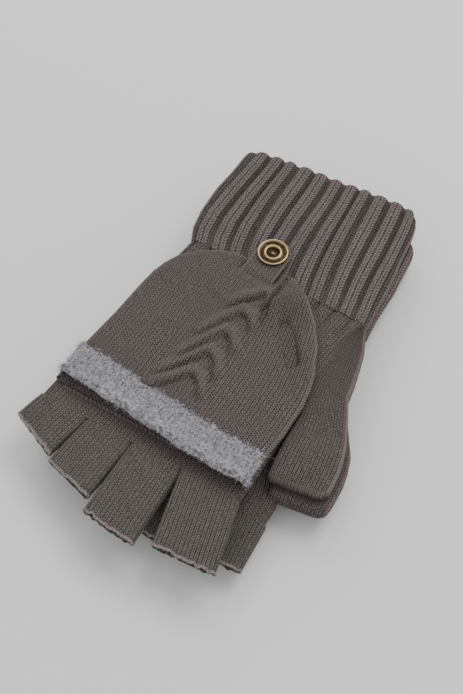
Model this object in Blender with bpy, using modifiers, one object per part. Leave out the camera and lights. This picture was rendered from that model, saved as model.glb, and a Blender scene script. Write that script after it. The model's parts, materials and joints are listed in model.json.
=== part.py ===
# A pair of knitted convertible mittens laid palm to palm: the right one on top with its back up,
# the left one below it with its palm up. Each is a hand tube with a ribbed cuff, four open half fingers,
# a closed thumb, and a flap pouch folded back from the knuckles and held to the wrist by a ring snap.
# In a mitten's own frame, y = 0 is the knuckle seam, +Y points to the fingers, -X to the thumb,
# z = 0 is the middle of the hand tube, and +Z is the back of the hand.
import math

import bmesh
import bpy
import numpy as np
from mathutils import Matrix, Vector

mm = 0.001

# Hand, cuff and walls
knit_wall = 1.3 * mm
panel_thick = 1.4 * mm
hand_thick = 7.0 * mm
hand_half_width = 49.5 * mm
hand_length = 97.0 * mm
knuckle_past_seam = 8.0 * mm
cuff_length = 60.0 * mm
cuff_end_width = 87.0 * mm
cuff_end_thick = 10.4 * mm
cuff_rib_height = 0.7 * mm
cuff_ribs = 24
piece_gap = 0.3 * mm

# Flap pouch, measured from the knuckle seam
flap_overhang = 0.5 * mm
mouth_past_seam = 1.5 * mm
band_width = 15.0 * mm
pouch_gap = 2.9 * mm
seam_wall = 1.2 * mm
hinge_rise = 1.0 * mm
hinge_bead = 0.6 * mm
hinge_reach = 0.9 * mm

# Ring snap and its tab
snap_x = 1.5 * mm
snap_past_wrist = 9.1 * mm
snap_radius = 7.2 * mm
flap_past_snap = 0.9 * mm
tab_margin = 1.2 * mm
tab_thick = 1.15 * mm
tab_reach = 9.2 * mm
tab_hinge_edge = 0.6 * mm
notch_clearance = 0.5 * mm

# Thumb
thumb_from_wrist = 50.0 * mm
thumb_root_radius = 12.0 * mm
thumb_length = 44.0 * mm
thumb_flare = 3.4 * mm
thumb_angle = math.radians(8.0)
thumb_gap = 0.4 * mm
thumb_clear = 0.9 * mm

# How the two mittens lie on each other
layer_gap = 3.8 * mm
left_shift_x = -5.5 * mm
left_shift_y = -1.0 * mm
left_cuff_shorter = 9.0 * mm
left_fingers_shorter = 9.0 * mm

# Each half finger: root middle and width on the knuckle line, end middle, end width, and slope of the end
fingers = {
    "pinky": {"root": 38.5, "root_w": 21.6, "end": (41.9, 28.0), "end_w": 23.6, "slope": -0.42},
    "ring": {"root": 16.1, "root_w": 21.8, "end": (17.9, 38.5), "end_w": 23.4, "slope": -0.25},
    "middle": {"root": -7.4, "root_w": 23.8, "end": (-8.1, 49.0), "end_w": 26.4, "slope": -0.1},
    "index": {"root": -34.7, "root_w": 29.2, "end": (-42.9, 45.0), "end_w": 29.8, "slope": 0.08},
}

# How far inside the hand's side lines the tube's edges lie at the wrist: thumb side, outer side
wrist_inset = (-3.7 * mm, 9.9 * mm)

# The flap's two edges, from the mouth to the snap's notch: shares of its half width and of its length
outer_edge = (
    (1.0, -0.037),
    (1.005, 0.1),
    (0.97, 0.26),
    (0.92, 0.49),
    (0.88, 0.7),
    (0.8, 0.85),
    (0.64, 0.945),
    (0.44, 0.99),
    (0.26, 1.0),
)
thumb_edge = (
    (0.99, -0.037),
    (1.0, 0.1),
    (1.02, 0.24),
    (1.02, 0.4),
    (0.955, 0.56),
    (0.84, 0.69),
    (0.68, 0.8),
    (0.48, 0.895),
    (0.26, 0.955),
)

half_thick = hand_thick / 2
snap_y = -hand_length - snap_past_wrist
tab_half_width = snap_radius + tab_margin
tab_hinge_y = snap_y + tab_reach
notch_y = tab_hinge_y + tab_hinge_edge + 1.2 * notch_clearance
flap_length = flap_past_snap - snap_y
flap_half_width = hand_half_width + flap_overhang
thumb_x = -hand_half_width - thumb_root_radius - thumb_clear
thumb_half_width = thumb_root_radius + thumb_flare
thumb_y = thumb_from_wrist - hand_length
hinge_z = half_thick + hinge_rise
under_low = hinge_z - panel_thick / 2
under_high = hinge_z + panel_thick / 2
cover_low = under_high + pouch_gap
cover_high = cover_low + panel_thick
cap_thick = 1.25 * mm
tab_high = cover_high - cap_thick - 0.25 * mm
tab_low = tab_high - tab_thick
socket_high = tab_low - 0.25 * mm
stud_base = half_thick + piece_gap
stud_flange = stud_base + 0.5 * mm
socket_low = stud_flange + piece_gap
flange_radius = 0.64 * snap_radius


def clear_scene():
    for obj in list(bpy.data.objects):
        bpy.data.objects.remove(obj, do_unlink=True)
    for group in list(bpy.data.collections):
        bpy.data.collections.remove(group)


def collection(name, shown):
    group = bpy.data.collections.new(name)
    bpy.context.scene.collection.children.link(group)
    group.hide_render = not shown
    return group


def material(name, colour, roughness, metallic=0.0):
    mat = bpy.data.materials.new(name)
    mat.use_nodes = True
    shader = mat.node_tree.nodes["Principled BSDF"]
    shader.inputs["Base Color"].default_value = (*colour, 1.0)
    shader.inputs["Roughness"].default_value = roughness
    shader.inputs["Metallic"].default_value = metallic
    mat.diffuse_color = (*colour, 1.0)
    return mat


def smooth_line(points, steps=3):
    """A Catmull-Rom line through the points."""
    ends = [2 * points[0] - points[1]] + points + [2 * points[-1] - points[-2]]
    line = []
    for a, b, c, d in zip(ends, ends[1:], ends[2:], ends[3:]):
        for i in range(steps):
            t = i / steps
            bend = (2 * a - 5 * b + 4 * c - d) * t**2 + (3 * b - a - 3 * c + d) * t**3
            line.append(0.5 * (2 * b + (c - a) * t + bend))
    return line + [points[-1]]


def flap_side(edge, side):
    points = [np.array((side * x * flap_half_width, -y * flap_length)) for x, y in edge]
    return smooth_line(points)


def notch_edge(side):
    return snap_x + side * (tab_half_width + notch_clearance)


def flap_outline(top):
    """The flap's edge in plan, from the outer side round the tip to the thumb side, cut off at y = top."""
    outer = [p for p in flap_side(outer_edge, 1) if p[0] > notch_edge(1) + 0.4 * mm]
    outer = [p for p in outer if p[1] < top - 0.5 * mm]
    thumb = [p for p in flap_side(thumb_edge, -1) if p[0] < notch_edge(-1) - 0.4 * mm]
    thumb = [p for p in thumb if p[1] < top - 0.5 * mm]
    line = [np.array((edge_at(outer_edge, 1, top), top))] + outer
    line += [np.array((notch_edge(1), outer[-1][1])), np.array((notch_edge(1), notch_y))]
    line += [np.array((notch_edge(-1), notch_y)), np.array((notch_edge(-1), thumb[-1][1]))]
    return line + thumb[::-1] + [np.array((edge_at(thumb_edge, -1, top), top))]


def edge_at(edge, side, y):
    line = flap_side(edge, side)
    height = [-p[1] for p in line]
    return float(np.interp(-y, height, [p[0] for p in line]))


def inset(line, distance):
    """The line moved inwards, with its corners mitred."""
    moved = []
    for i, point in enumerate(line):
        before = line[max(i - 1, 0)]
        after = line[min(i + 1, len(line) - 1)]
        first = (point - before) if i else (after - point)
        second = (after - point) if i < len(line) - 1 else (point - before)
        first = first / np.linalg.norm(first)
        second = second / np.linalg.norm(second)
        side = np.array((first[1] + second[1], -first[0] - second[0]))
        side = side / np.linalg.norm(side)
        cosine = max(abs(side @ np.array((first[1], -first[0]))), 0.5)
        moved.append(point + side * distance / cosine)
    return moved


def flat_oval(x, y, half_width, half_height, flats=8, arcs=6, ribs=0, rib_height=0.0, slope=0.0):
    """One closed ring of points across the hand: two flat runs joined by half circles, with ribs."""
    straight = half_width - half_height
    ring = []
    for side in (1, -1):
        for i in range(flats):
            ring.append((side * straight * (1 - 2 * i / flats), side * half_height, 0.0, side))
        for i in range(arcs):
            turn = math.pi * i / arcs
            out = (-side * math.sin(turn), side * math.cos(turn))
            ring.append((-side * straight + half_height * out[0], half_height * out[1], out[0], out[1]))
    points = []
    for i, (u, z, nu, nz) in enumerate(ring):
        lift = rib_height * 0.5 * (1 - math.cos(2 * math.pi * ribs * i / len(ring)))
        px = x + u + nu * lift
        points.append((px, y + slope * (px - x), z + nz * lift))
    return points


def mesh_from_rings(name, rings, closed_ends):
    shape = bmesh.new()
    rows = [[shape.verts.new(p) for p in ring] for ring in rings]
    for low, high in zip(rows, rows[1:]):
        for i in range(len(low)):
            j = (i + 1) % len(low)
            shape.faces.new((low[i], low[j], high[j], high[i]))
    if closed_ends:
        shape.faces.new(rows[0][::-1])
        shape.faces.new(rows[-1])
    return shape_object(name, shape)


def shape_object(name, shape):
    bmesh.ops.recalc_face_normals(shape, faces=shape.faces)
    mesh = bpy.data.meshes.new(name)
    shape.to_mesh(mesh)
    shape.free()
    return bpy.data.objects.new(name, mesh)


def plate(name, outline, low, high, rounding=0.0):
    """A flat piece of knitting with this outline, between two heights."""
    shape = bmesh.new()
    shape.faces.new([shape.verts.new((p[0], p[1], low)) for p in outline])
    bmesh.ops.recalc_face_normals(shape, faces=shape.faces)
    obj = shape_object(name, shape)
    if obj.data.polygons[0].normal.z < 0:
        obj.data.flip_normals()
    add_solidify(obj, high - low, 1.0)
    if rounding:
        add_bevel(obj, rounding)
    return obj


def strip(name, outer, inner, low, high):
    """An upright wall that follows two lines in plan."""
    shape = bmesh.new()
    first = [shape.verts.new((p[0], p[1], low)) for p in outer]
    second = [shape.verts.new((p[0], p[1], low)) for p in inner]
    for i in range(len(first) - 1):
        shape.faces.new((first[i], first[i + 1], second[i + 1], second[i]))
    bmesh.ops.recalc_face_normals(shape, faces=shape.faces)
    obj = shape_object(name, shape)
    if obj.data.polygons[0].normal.z < 0:
        obj.data.flip_normals()
    add_solidify(obj, high - low, 1.0)
    return obj


def add_solidify(obj, thickness, offset):
    mod = obj.modifiers.new("Thickness", "SOLIDIFY")
    mod.thickness = thickness
    mod.offset = offset
    mod.use_even_offset = True


def add_bevel(obj, width):
    mod = obj.modifiers.new("Rounding", "BEVEL")
    mod.width = width
    mod.segments = 1
    mod.limit_method = "ANGLE"
    mod.angle_limit = math.radians(50)


def add_cut(obj, cutter):
    mod = obj.modifiers.new("Cut " + cutter.name, "BOOLEAN")
    mod.operation = "DIFFERENCE"
    mod.solver = "EXACT"
    mod.object = cutter


def cylinder(name, radius, low, high, sides):
    shape = bmesh.new()
    size = {"radius1": radius, "radius2": radius, "depth": high - low}
    bmesh.ops.create_cone(shape, cap_ends=True, segments=sides, **size)
    bmesh.ops.translate(shape, verts=shape.verts, vec=(0, 0, (low + high) / 2))
    return shape_object(name, shape)


def turned(name, profile, steps=28):
    """A round piece: the profile of radius, in millimetres, and height, turned about Z."""
    shape = bmesh.new()
    rows = [shape.verts.new((r * mm, 0, z)) for r, z in profile]
    edges = [shape.edges.new(pair) for pair in zip(rows, rows[1:])]
    if profile[0][0] > 0:
        edges.append(shape.edges.new((rows[-1], rows[0])))
    bmesh.ops.spin(shape, geom=rows + edges, axis=(0, 0, 1), angle=2 * math.pi, steps=steps, use_merge=True)
    bmesh.ops.remove_doubles(shape, verts=shape.verts, dist=0.001 * mm)
    return shape_object(name, shape)


class Mitten:
    """One mitten: its frame, the empties its moving pieces hang from, and the pieces as they are made."""

    def __init__(self, prefix, up, origin, parent, groups, mats):
        self.prefix = prefix
        self.up = up
        self.pieces, self.cutters = groups
        self.mats = mats
        self.short_cuff = left_cuff_shorter if up < 0 else 0.0
        self.short_fingers = left_fingers_shorter / mm if up < 0 else 0.0
        self.base = self.empty("mitten", parent, origin)
        self.flap = self.empty("flap_hinge", self.base, (0, 0, up * hinge_z))
        self.cover = self.empty("flap_cover_slide", self.flap, (0, 0, 0))
        tab_place = (snap_x, tab_hinge_y, up * ((tab_low + tab_high) / 2 - hinge_z))
        self.tab = self.empty("tab_hinge", self.flap, tab_place)
        self.thumb = self.empty("thumb_hinge", self.base, (thumb_x, thumb_y, 0))

    def empty(self, name, parent, place):
        obj = bpy.data.objects.new(self.prefix + "_" + name, None)
        obj.empty_display_size = 0.01
        obj.location = place
        obj.parent = parent
        self.pieces.objects.link(obj)
        return obj

    def settle(self, obj, frame, at=(0.0, 0.0)):
        """Hangs an object, modelled in the mitten's frame, from an empty, and mirrors it on the left hand."""
        place = Vector((0, 0, 0))
        while frame is not None and frame != self.base:
            place += frame.location
            frame = frame.parent
        obj.location = Vector((at[0], at[1], 0)) - place
        if self.up < 0:
            obj.data.transform(Matrix.Diagonal((1, 1, -1, 1)))
            obj.data.flip_normals()

    def add(self, obj, frame, mat, at=(0.0, 0.0)):
        obj.parent = frame
        self.settle(obj, frame, at)
        obj.data.materials.append(self.mats[mat])
        self.pieces.objects.link(obj)
        return obj

    def add_cutter(self, obj, frame, at=(0.0, 0.0)):
        obj.parent = frame
        self.settle(obj, frame, at)
        obj.hide_render = True
        obj.display_type = "WIRE"
        self.cutters.objects.link(obj)
        return obj

    def name(self, piece):
        return self.prefix + "_" + piece


def make_cuff(mitten):
    wrist_x = (wrist_inset[0] - wrist_inset[1]) / 2
    wrist_half = hand_half_width - (wrist_inset[0] + wrist_inset[1]) / 2
    wrist = (wrist_x, -hand_length - piece_gap, wrist_half, half_thick, 0.0)
    near = (0.92 * wrist_x, snap_y - 8 * mm, wrist_half - 0.6 * mm, half_thick + 0.1 * mm, 0.1)
    end_y = -hand_length - cuff_length + mitten.short_cuff
    half_end = cuff_end_thick / 2 - cuff_rib_height
    end = (-2.5 * mm, end_y, 0.5 * cuff_end_width, half_end, 1.0)
    middle = [0.45 * a + 0.55 * b for a, b in zip(near, end)]
    flare = (middle[0], middle[1], middle[2], middle[3], 0.7)
    rings = []
    for x, y, width, height, rib in (wrist, near, flare, end):
        rise = cuff_rib_height * rib
        rings.append(flat_oval(x, y, width - rise, height, 40, 8, cuff_ribs, rise))
    cuff = mesh_from_rings(mitten.name("cuff"), rings, False)
    add_solidify(cuff, knit_wall, -1.0)
    mitten.add(cuff, mitten.base, "rib")
    hole = cylinder(mitten.name("cuff_stud_hole"), 1.6 * mm, 0.5 * half_thick, 1.6 * half_thick, 24)
    add_cut(cuff, mitten.add_cutter(hole, mitten.base, (snap_x, snap_y)))


def make_hand(mitten):
    # Each line: y, then how far inside the hand's side line the edge lies, on the thumb and outer sides
    lines = (
        (-hand_length, *wrist_inset),
        (thumb_y - 37.4 * mm, -9.5 * mm, 8.3 * mm),
        (thumb_y - 24.8 * mm, -13.0 * mm, 6.3 * mm),
        (thumb_y - 13.1 * mm, -14.3 * mm, 5.1 * mm),
        (thumb_y - 1.5 * mm, -11.0 * mm, 4.1 * mm),
        (thumb_y + 4.4 * mm, -0.2 * mm, 3.5 * mm),
        (thumb_y + 17.9 * mm, -0.1 * mm, 2.3 * mm),
        (0.0, 0.0, 0.3 * mm),
        (knuckle_past_seam, 0.0, 0.0),
    )
    rings = []
    for y, low, high in lines:
        rings.append(flat_oval((low - high) / 2, y, hand_half_width - (low + high) / 2, half_thick))
    hand = mesh_from_rings(mitten.name("hand"), rings, False)
    add_solidify(hand, knit_wall, -1.0)
    mitten.add(hand, mitten.base, "knit")
    hole_radius = thumb_root_radius + thumb_gap
    hole = cylinder(mitten.name("hand_thumb_hole"), hole_radius, -2 * half_thick, 2 * half_thick, 64)
    add_cut(hand, mitten.add_cutter(hole, mitten.base, (thumb_x, thumb_y)))


def make_seam_ridge(mitten):
    # The row of stitches on the knuckles that the flap turns on
    half_run = hand_half_width - 3.5 * mm
    profile = []
    for i in range(9):
        turn = math.pi * i / 8
        profile.append((-hinge_bead * math.cos(turn), hinge_z + hinge_bead * math.sin(turn)))
    profile = [(-hinge_bead, half_thick + piece_gap)] + profile + [(hinge_bead, half_thick + piece_gap)]
    rings = [[(x, y, z) for y, z in profile] for x in (-half_run, half_run)]
    mitten.add(mesh_from_rings(mitten.name("knuckle_seam"), rings, True), mitten.base, "seam")


def make_finger(mitten, finger):
    size = fingers[finger]
    reach = hand_half_width / (49.5 * mm)
    root_y = knuckle_past_seam + piece_gap
    end_y = (size["end"][1] - mitten.short_fingers) * mm
    rings = []
    for share in (0.0, 0.5, 1.0):
        x = (size["root"] + (size["end"][0] - size["root"]) * share) * mm * reach
        width = (size["root_w"] + (size["end_w"] - size["root_w"]) * share) * mm * reach
        y = root_y + (end_y - root_y) * share
        rings.append(flat_oval(x, y, width / 2, half_thick, 4, 6, slope=size["slope"] * share))
    tube = mesh_from_rings(mitten.name("finger_" + finger), rings, False)
    add_solidify(tube, knit_wall, -1.0)
    mitten.add(tube, mitten.base, "knit")


def thumb_rings(wall, start):
    # Up to the closed tip: shares of the thumb's length, half width and thickness, and its bow outwards
    lines = (
        (0.3, 0.88, 1.0, 0.6),
        (0.62, 1.0, 1.0, 1.8),
        (0.8, 0.97, 0.97, 1.6),
        (0.91, 0.88, 0.84, 0.8),
        (0.97, 0.74, 0.62, 0.3),
        (1.0, 0.55, 0.3, 0.0),
    )
    root = thumb_root_radius - wall
    rings = []
    for share in start:
        y = share * root
        rings.append((y, math.sqrt(max(root * root - y * y, 0.0)) if y < 0 else root, 1.0, 0.0))
    for share, width, height, bow in lines:
        rings.append((share * (thumb_length - wall), width * thumb_half_width - wall, height, -bow * mm))
    turned_rings = []
    for y, half_width, height, bow in rings:
        half_height = max(height * half_thick - wall, 0.25 * mm)
        ring = flat_oval(bow, y, max(half_width, 1.2 * half_height), half_height, 6, 6)
        turned_rings.append([tuple(Matrix.Rotation(thumb_angle, 3, "Z") @ Vector(p)) for p in ring])
    return turned_rings


def make_thumb(mitten):
    outside = thumb_rings(0.0, (-0.78, -0.6, -0.36, 0.0))
    thumb = mesh_from_rings(mitten.name("thumb"), outside, True)
    mitten.add(thumb, mitten.thumb, "knit", (thumb_x, thumb_y))
    inside = thumb_rings(knit_wall, (-1.0, -0.6, -0.3, 0.0))
    hollow = mesh_from_rings(mitten.name("thumb_hollow"), inside, True)
    add_cut(thumb, mitten.add_cutter(hollow, mitten.thumb, (thumb_x, thumb_y)))


def make_flap(mitten):
    under = plate(mitten.name("flap_under_panel"), flap_outline(-hinge_reach), under_low, under_high)
    mitten.add(under, mitten.flap, "knit")
    line = flap_outline(-hinge_reach - 0.6 * mm)
    wall = strip(
        mitten.name("flap_side_seam"),
        inset(line, 0.3 * mm),
        inset(line, 0.3 * mm + seam_wall),
        under_high + 0.25 * mm,
        cover_low - 0.25 * mm,
    )
    mitten.add(wall, mitten.flap, "seam")
    band_low = mouth_past_seam - band_width
    outline = flap_outline(band_low - piece_gap)
    cover = plate(mitten.name("flap_cover_panel"), outline, cover_low, cover_high, 0.35 * mm)
    mitten.add(cover, mitten.cover, "knit")
    for number, (arm_y, reach) in enumerate(((-34.0, 50.0), (-47.5, 62.0), (-61.0, 74.0), (-74.0, 84.0))):
        groove = cable_groove(mitten.name(f"cable_groove_{number + 1}"), arm_y * mm, -reach * mm)
        add_cut(cover, mitten.add_cutter(groove, mitten.cover))
    ends = ((band_low, 0.0), (mouth_past_seam, 0.0))
    corners = [np.array((edge_at(outer_edge, 1, y), y)) for y, _ in ends]
    corners += [np.array((edge_at(thumb_edge, -1, y), y)) for y, _ in ends[::-1]]
    band = plate(mitten.name("mohair_band"), corners, cover_low, cover_high, 0.35 * mm)
    mitten.add(band, mitten.cover, "mohair")


def cable_groove(name, arm_y, point_y):
    # A V-shaped groove beside a cable, its arms bowed outwards, its point towards the snap
    half_run = 0.62 * flap_half_width
    path = []
    for i in range(9):
        u = -1 + i / 4
        bow = abs(u) ** 1.4
        path.append(Vector((snap_x + u * half_run, point_y + (arm_y - point_y) * bow, cover_high)))
    sides = 8
    rings = []
    for i, point in enumerate(path):
        along = (path[min(i + 1, 8)] - path[max(i - 1, 0)]).normalized()
        across = Vector((0, 0, 1)).cross(along)
        ring = []
        for k in range(sides):
            turn = 2 * math.pi * (k + 0.5) / sides
            up = Vector((0, 0, math.sin(turn) * 0.55 * mm))
            ring.append(tuple(point + across * math.cos(turn) * 0.7 * mm + up))
        rings.append(ring)
    return mesh_from_rings(name, rings, True)


def make_tab(mitten):
    outline = [np.array((snap_x + tab_half_width, tab_hinge_y + tab_hinge_edge))]
    for i in range(17):
        turn = -math.pi * i / 16
        rim = np.array((math.cos(turn), math.sin(turn)))
        outline.append(np.array((snap_x, snap_y)) + tab_half_width * rim)
    outline.append(np.array((snap_x - tab_half_width, tab_hinge_y + tab_hinge_edge)))
    tab = plate(mitten.name("snap_tab"), outline, tab_low, tab_high)
    mitten.add(tab, mitten.tab, "tab")
    hole = cylinder(mitten.name("tab_hole"), 1.9 * mm, tab_low - mm, tab_high + mm, 24)
    add_cut(tab, mitten.add_cutter(hole, mitten.tab, (snap_x, snap_y)))


def make_snap(mitten):
    at = (snap_x, snap_y)
    edge = snap_radius / mm
    low = cover_high - cap_thick
    top = cover_high
    cap = (
        (0.0, low + 0.35 * mm),
        (0.42 * edge, low + 0.35 * mm),
        (0.47 * edge, top - 0.3 * mm),
        (0.57 * edge, top - 0.1 * mm),
        (0.66 * edge, top - 0.35 * mm),
        (0.73 * edge, top - 0.6 * mm),
        (0.81 * edge, top - 0.2 * mm),
        (0.89 * edge, top),
        (0.97 * edge, top - 0.2 * mm),
        (edge, low + 0.4 * mm),
        (0.96 * edge, low),
        (1.5, low),
        (1.5, socket_high + piece_gap),
        (0.0, socket_high + piece_gap),
    )
    mitten.add(turned(mitten.name("snap_cap_ring"), cap, 36), mitten.tab, "brass", at)
    wide = flange_radius / mm
    socket = (
        (0.0, socket_high),
        (0.72 * wide, socket_high),
        (0.8 * wide, socket_high - 0.7 * mm),
        (wide, socket_high - 0.9 * mm),
        (wide, socket_low),
        (2.5, socket_low),
        (2.5, socket_high - 0.45 * mm),
        (0.0, socket_high - 0.45 * mm),
    )
    mitten.add(turned(mitten.name("snap_socket"), socket), mitten.tab, "brass", at)
    inner = half_thick - knit_wall
    stud = (
        (0.0, socket_high - 0.9 * mm),
        (1.2, socket_high - 0.95 * mm),
        (1.6, socket_high - 1.2 * mm),
        (1.4, stud_flange + 0.2 * mm),
        (1.7, stud_flange),
        (wide, stud_flange),
        (wide, stud_base),
        (1.2, stud_base),
        (1.2, inner - 1.3 * mm),
        (2.2, inner - 1.3 * mm),
        (2.2, inner - 1.6 * mm),
        (0.0, inner - 1.6 * mm),
    )
    mitten.add(turned(mitten.name("snap_stud"), stud), mitten.base, "brass", at)
    ring = ((1.5, inner - piece_gap), (4.4, inner - piece_gap), (4.4, inner - mm), (1.5, inner - mm))
    mitten.add(turned(mitten.name("snap_back_ring"), ring), mitten.base, "brass", at)


def make_mitten(prefix, up, origin, parent, groups, mats):
    mitten = Mitten(prefix, up, origin, parent, groups, mats)
    make_cuff(mitten)
    make_hand(mitten)
    make_seam_ridge(mitten)
    for finger in fingers:
        make_finger(mitten, finger)
    make_thumb(mitten)
    make_flap(mitten)
    make_tab(mitten)
    make_snap(mitten)
    return mitten


def centre(root):
    """Moves the pair so that the middle of its box stands on the origin."""
    bpy.context.view_layer.update()
    graph = bpy.context.evaluated_depsgraph_get()
    corners = []
    for obj in bpy.data.objects:
        if obj.type == "MESH" and not obj.hide_render:
            piece = obj.evaluated_get(graph)
            corners += [piece.matrix_world @ Vector(corner) for corner in piece.bound_box]
    corners = np.array(corners)
    low, high = corners.min(axis=0), corners.max(axis=0)
    root.location -= Vector(((low[0] + high[0]) / 2, (low[1] + high[1]) / 2, low[2]))


clear_scene()
groups = (collection("Convertible mittens", True), collection("Cutters", False))
mats = {
    "knit": material("Taupe knit", (0.145, 0.122, 0.108), 0.95),
    "rib": material("Taupe rib knit", (0.135, 0.113, 0.1), 0.95),
    "seam": material("Seam yarn", (0.1, 0.085, 0.075), 0.95),
    "tab": material("Tab knit", (0.12, 0.1, 0.09), 0.95),
    "mohair": material("Mohair band", (0.55, 0.54, 0.57), 0.9),
    "brass": material("Antique brass", (0.42, 0.31, 0.17), 0.38, 1.0),
}
left = make_mitten("left", -1, (left_shift_x, left_shift_y, cover_high), None, groups, mats)
pitch = hand_thick + layer_gap
right = make_mitten("right", 1, (-left_shift_x, -left_shift_y, pitch), left.base, groups, mats)
centre(left.base)
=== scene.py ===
import json
import math

import bmesh
import bpy
import numpy as np
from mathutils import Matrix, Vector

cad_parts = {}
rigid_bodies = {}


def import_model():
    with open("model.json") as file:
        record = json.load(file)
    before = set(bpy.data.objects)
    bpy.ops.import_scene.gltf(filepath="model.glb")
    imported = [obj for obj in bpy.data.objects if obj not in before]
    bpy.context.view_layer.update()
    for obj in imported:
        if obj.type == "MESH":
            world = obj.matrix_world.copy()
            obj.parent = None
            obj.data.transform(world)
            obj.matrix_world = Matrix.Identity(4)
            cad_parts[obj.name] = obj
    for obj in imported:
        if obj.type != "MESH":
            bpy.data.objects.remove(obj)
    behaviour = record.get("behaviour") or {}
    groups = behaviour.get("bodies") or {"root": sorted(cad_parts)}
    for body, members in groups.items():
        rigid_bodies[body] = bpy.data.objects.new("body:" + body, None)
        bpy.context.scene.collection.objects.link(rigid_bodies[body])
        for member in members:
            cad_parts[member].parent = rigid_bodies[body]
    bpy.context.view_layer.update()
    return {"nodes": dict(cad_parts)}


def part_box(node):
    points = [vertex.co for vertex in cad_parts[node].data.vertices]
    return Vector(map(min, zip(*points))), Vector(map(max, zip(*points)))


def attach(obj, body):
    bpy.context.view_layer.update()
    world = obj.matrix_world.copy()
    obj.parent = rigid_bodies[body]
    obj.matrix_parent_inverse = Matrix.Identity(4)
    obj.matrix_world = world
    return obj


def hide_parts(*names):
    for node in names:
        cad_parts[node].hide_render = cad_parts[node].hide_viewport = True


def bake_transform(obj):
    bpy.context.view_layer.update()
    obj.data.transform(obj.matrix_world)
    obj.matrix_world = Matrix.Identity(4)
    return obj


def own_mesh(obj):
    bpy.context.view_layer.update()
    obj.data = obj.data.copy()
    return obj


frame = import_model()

mm = 0.001

# A mitten's own frame is in millimetres: y = 0 is the knuckle seam, +Y the fingers,
# -X the thumb and +Z the back of the hand.
sides = {}
for sideName, up in (("right", 1), ("left", -1)):
    seamLow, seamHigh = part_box(sideName + "_knuckle_seam")
    handLow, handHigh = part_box(sideName + "_hand")
    middle = (seamLow + seamHigh) / 2
    origin = np.array((middle.x, middle.y, (handLow.z + handHigh.z) / 2))
    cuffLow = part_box(sideName + "_cuff")[0]
    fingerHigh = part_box(sideName + "_finger_middle")[1]
    sides[sideName] = {
        "up": up,
        "origin": origin,
        "cuffEnd": (cuffLow.y - origin[1]) / mm,
        "fingersShort": 51.3 - (fingerHigh.y - origin[1]) / mm,
    }

view = {
    "turn": 211.4,  # degrees round the pair
    "rise": 58.0,
    "distance": 0.8,
    "frameWidth": 0.205,
    "lookAt": (-8.8, -52.7, 8.9),  # in the right mitten's frame
}


def worldSpot(side, spot):
    # a place in a mitten's own frame, turned the right way up and moved to where the mitten lies
    place = sides[side]
    return place["origin"] + np.array((spot[0], spot[1], place["up"] * spot[2])) * mm


def makeCamera():
    # The camera stands back from lookAt by distance, turned round the pair and raised above the floor.
    turn, rise = math.radians(view["turn"]), math.radians(view["rise"])
    back = np.array((math.sin(turn) * math.cos(rise), -math.cos(turn) * math.cos(rise), math.sin(rise)))
    lens = bpy.data.cameras.new("mittenCamera")
    lens.sensor_fit = "HORIZONTAL"
    lens.sensor_width = 36.0
    lens.lens = 36.0 * view["distance"] / view["frameWidth"]
    lens.clip_start = 0.01
    camera = bpy.data.objects.new("mittenCamera", lens)
    camera.location = worldSpot("right", view["lookAt"]) + back * view["distance"]
    camera.rotation_euler = (math.radians(90.0 - view["rise"]), 0.0, turn)
    bpy.context.scene.collection.objects.link(camera)
    bpy.context.scene.camera = camera


light = {
    "skyStrength": 0.86,
    "skyColour": (0.985, 0.992, 1.0),
    "keyPower": 8.8,
    "keySize": 0.9,
    "keyPlace": (-0.25, -0.75, 1.15),
    "fillPower": 5.0,
    "fillSize": 0.8,
    "fillPlace": (0.75, -0.85, 0.9),
    "floorColour": (0.8, 0.8, 0.8),
}


def areaLight(name, place, size, power):
    lamp = bpy.data.lights.new(name, "AREA")
    lamp.shape = "DISK"
    lamp.size = size
    lamp.energy = power
    holder = bpy.data.objects.new(name, lamp)
    holder.location = place
    aim = np.array(place)
    flat = math.hypot(aim[0], aim[1])
    holder.rotation_euler = (math.atan2(flat, aim[2]), 0.0, math.atan2(aim[1], aim[0]) + math.pi / 2)
    bpy.context.scene.collection.objects.link(holder)


def makeStudio():
    # pale sky light all round, two large soft lamps and a plain floor
    world = bpy.data.worlds.new("softStudio")
    world.use_nodes = True
    world.node_tree.nodes["Background"].inputs["Color"].default_value = (*light["skyColour"], 1.0)
    world.node_tree.nodes["Background"].inputs["Strength"].default_value = light["skyStrength"]
    bpy.context.scene.world = world
    areaLight("keyLight", light["keyPlace"], light["keySize"], light["keyPower"])
    areaLight("fillLight", light["fillPlace"], light["fillSize"], light["fillPower"])
    mesh = bpy.data.meshes.new("paleFloor")
    reach = 3.0
    corners = [(-reach, -reach, 0), (reach, -reach, 0), (reach, reach, 0), (-reach, reach, 0)]
    mesh.from_pydata(corners, [], [(0, 1, 2, 3)])
    floor = bpy.data.objects.new("paleFloor", mesh)
    paint = bpy.data.materials.new("paleFloor")
    paint.use_nodes = True
    shader = paint.node_tree.nodes["Principled BSDF"]
    shader.inputs["Base Color"].default_value = (*light["floorColour"], 1.0)
    shader.inputs["Roughness"].default_value = 0.85
    mesh.materials.append(paint)
    bpy.context.scene.collection.objects.link(floor)


makeCamera()
makeStudio()
print("camera and studio are set")


def addNode(tree, kind, settings=None, **inputs):
    node = tree.nodes.new(kind)
    for name, value in (settings or {}).items():
        setattr(node, name, value)
    for name, value in inputs.items():
        socket = node.inputs[int(name[1:])] if name[0] == "i" and name[1:].isdigit() else node.inputs[name]
        if isinstance(value, bpy.types.NodeSocket):
            tree.links.new(value, socket)
        else:
            socket.default_value = value
    return node


def sums(tree, operation, a, b=0.0, c=0.0, clamp=False):
    settings = {"operation": operation, "use_clamp": clamp}
    return addNode(tree, "ShaderNodeMath", settings, i0=a, i1=b, i2=c).outputs[0]


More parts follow.
